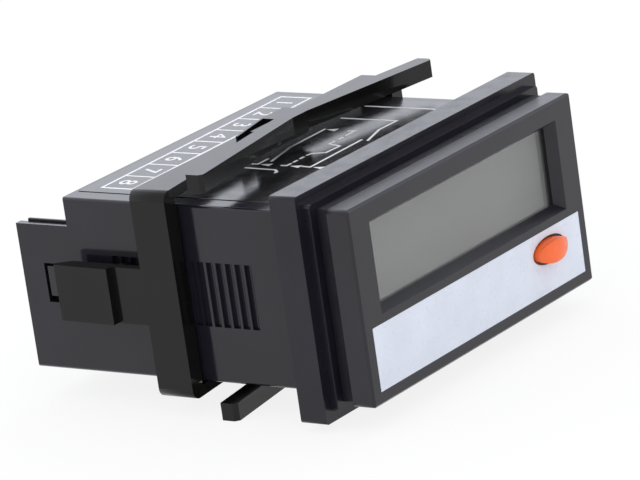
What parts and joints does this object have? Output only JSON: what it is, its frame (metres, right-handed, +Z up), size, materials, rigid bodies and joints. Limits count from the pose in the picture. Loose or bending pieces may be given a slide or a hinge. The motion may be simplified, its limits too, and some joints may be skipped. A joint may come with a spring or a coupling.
{
  "type": "panel counter",
  "caption": "Small panel-mount counter with a display window, reset button, stepped rear terminal row and a sliding ratchet clip with bow springs.",
  "frame": {"origin": "middle of the adapter frame's rear face, the plane that bears on the panel", "axes": "+X to the right seen from the front, +Y rearwards through the panel, +Z up"},
  "size_m": [0.0516, 0.0524, 0.0303],
  "materials": {
    "black_case": "satin black moulding, fine grain on the bezel",
    "black_frame": "grained black moulding with smooth faces",
    "black_clip": "smooth black moulding",
    "black_block": "plain black moulding",
    "black_inner": "plain black moulding",
    "black_film": "glossy printed film",
    "clear_window": "clear moulded pane",
    "lcd_glass": "display glass",
    "reflector": "grey reflective sheet",
    "white_label": "satin printed film",
    "orange_button": "satin orange moulding",
    "rubber": "matt black rubber",
    "board": "green circuit board",
    "component": "moulded component",
    "steel": "plated steel",
    "brass": "tinned brass"
  },
  "bodies": {
    "counter": {"housing": "black_case", "display_window": "clear_window", "front_label": "white_label", "wiring_label": "black_film", "reset_switch": "component", "lcd_front_glass": "lcd_glass", "lcd_rear_glass": "lcd_glass", "lcd_reflector": "reflector", "lcd_holder": "black_inner", "contact_strip": "rubber", "display_board": "board", "controller_chip": "component", "crystal": "steel", "header_pins": "brass", "main_board": "board", "battery": "steel", "battery_tabs": "brass", "capacitor": "component", "optocoupler": "component", "resistors": "component", "terminal_block": "black_block", "terminal_pins": "brass", "gasket": "rubber", "adapter_frame": "black_frame"},
    "button": {"reset_button": "orange_button", "switch_plunger": "component"},
    "clip": {"mounting_clip": "black_clip"},
    "screw_1": {"terminal_screw_1": "steel"},
    "cage_1": {"terminal_cage_1": "brass"},
    "screw_2": {"terminal_screw_2": "steel"},
    "cage_2": {"terminal_cage_2": "brass"},
    "screw_3": {"terminal_screw_3": "steel"},
    "cage_3": {"terminal_cage_3": "brass"},
    "screw_4": {"terminal_screw_4": "steel"},
    "cage_4": {"terminal_cage_4": "brass"},
    "screw_5": {"terminal_screw_5": "steel"},
    "cage_5": {"terminal_cage_5": "brass"},
    "screw_6": {"terminal_screw_6": "steel"},
    "cage_6": {"terminal_cage_6": "brass"},
    "screw_7": {"terminal_screw_7": "steel"},
    "cage_7": {"terminal_cage_7": "brass"},
    "screw_8": {"terminal_screw_8": "steel"},
    "cage_8": {"terminal_cage_8": "brass"}
  },
  "joints": [
    {"name": "reset_press", "type": "slide", "parent": "counter", "child": "button", "axis": [0, 1, 0], "range_m": [0, 0.0008], "stiffness_N_per_m": 400, "springref_m": -0.0005},
    {"name": "clip_slide", "type": "slide", "parent": "counter", "child": "clip", "axis": [0, -1, 0], "range_m": [-0.012, 0.0098]},
    {"name": "screw_turn_1", "type": "hinge", "parent": "counter", "child": "screw_1", "pos_m": [0.0175, 0.037, 0], "axis": [0, 0, 1], "range_deg": [-1440, 0]},
    {"name": "cage_rise_1", "type": "slide", "parent": "counter", "child": "cage_1", "axis": [0, 0, 1], "range_m": [0, 0.002]},
    {"name": "screw_turn_2", "type": "hinge", "parent": "counter", "child": "screw_2", "pos_m": [0.0125, 0.037, 0], "axis": [0, 0, 1], "range_deg": [-1440, 0]},
    {"name": "cage_rise_2", "type": "slide", "parent": "counter", "child": "cage_2", "axis": [0, 0, 1], "range_m": [0, 0.002]},
    {"name": "screw_turn_3", "type": "hinge", "parent": "counter", "child": "screw_3", "pos_m": [0.0075, 0.037, 0], "axis": [0, 0, 1], "range_deg": [-1440, 0]},
    {"name": "cage_rise_3", "type": "slide", "parent": "counter", "child": "cage_3", "axis": [0, 0, 1], "range_m": [0, 0.002]},
    {"name": "screw_turn_4", "type": "hinge", "parent": "counter", "child": "screw_4", "pos_m": [0.0025, 0.037, 0], "axis": [0, 0, 1], "range_deg": [-1440, 0]},
    {"name": "cage_rise_4", "type": "slide", "parent": "counter", "child": "cage_4", "axis": [0, 0, 1], "range_m": [0, 0.002]},
    {"name": "screw_turn_5", "type": "hinge", "parent": "counter", "child": "screw_5", "pos_m": [-0.0025, 0.037, 0], "axis": [0, 0, 1], "range_deg": [-1440, 0]},
    {"name": "cage_rise_5", "type": "slide", "parent": "counter", "child": "cage_5", "axis": [0, 0, 1], "range_m": [0, 0.002]},
    {"name": "screw_turn_6", "type": "hinge", "parent": "counter", "child": "screw_6", "pos_m": [-0.0075, 0.037, 0], "axis": [0, 0, 1], "range_deg": [-1440, 0]},
    {"name": "cage_rise_6", "type": "slide", "parent": "counter", "child": "cage_6", "axis": [0, 0, 1], "range_m": [0, 0.002]},
    {"name": "screw_turn_7", "type": "hinge", "parent": "counter", "child": "screw_7", "pos_m": [-0.0125, 0.037, 0], "axis": [0, 0, 1], "range_deg": [-1440, 0]},
    {"name": "cage_rise_7", "type": "slide", "parent": "counter", "child": "cage_7", "axis": [0, 0, 1], "range_m": [0, 0.002]},
    {"name": "screw_turn_8", "type": "hinge", "parent": "counter", "child": "screw_8", "pos_m": [-0.0175, 0.037, 0], "axis": [0, 0, 1], "range_deg": [-1440, 0]},
    {"name": "cage_rise_8", "type": "slide", "parent": "counter", "child": "cage_8", "axis": [0, 0, 1], "range_m": [0, 0.002]}
  ],
  "couplings": [
    {"joint": "screw_turn_1", "follows": "cage_rise_1", "rad_per_m": -12566},
    {"joint": "screw_turn_2", "follows": "cage_rise_2", "rad_per_m": -12566},
    {"joint": "screw_turn_3", "follows": "cage_rise_3", "rad_per_m": -12566},
    {"joint": "screw_turn_4", "follows": "cage_rise_4", "rad_per_m": -12566},
    {"joint": "screw_turn_5", "follows": "cage_rise_5", "rad_per_m": -12566},
    {"joint": "screw_turn_6", "follows": "cage_rise_6", "rad_per_m": -12566},
    {"joint": "screw_turn_7", "follows": "cage_rise_7", "rad_per_m": -12566},
    {"joint": "screw_turn_8", "follows": "cage_rise_8", "rad_per_m": -12566}
  ]
}
